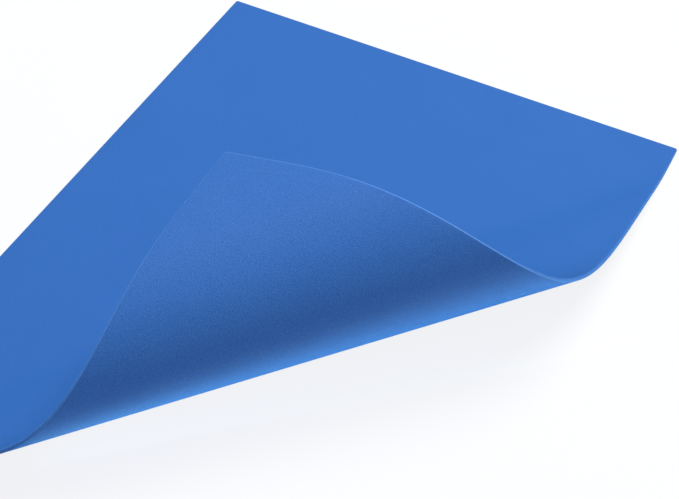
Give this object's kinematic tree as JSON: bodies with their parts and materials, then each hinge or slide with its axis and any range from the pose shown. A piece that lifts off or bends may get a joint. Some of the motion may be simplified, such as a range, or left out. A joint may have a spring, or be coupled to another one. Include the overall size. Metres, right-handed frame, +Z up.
{
  "type": "eva foam sheet",
  "caption": "Thin rectangular craft foam sheet lying flat, with one corner rolled back over itself to show its underside.",
  "frame": {"origin": "middle of the base of the bounding box, which is the middle of the flat rectangle on the surface that the sheet lies on", "axes": "+X along the short edges to the right, +Y along the long edges to the back, +Z up; the corner at +X, -Y is the rolled one"},
  "size_m": [0.2286, 0.3048, 0.0855],
  "materials": {
    "foam": "matt closed-cell foam with a fine grain"
  },
  "bodies": {
    "root": {"foam_sheet": "foam"}
  },
  "joints": []
}
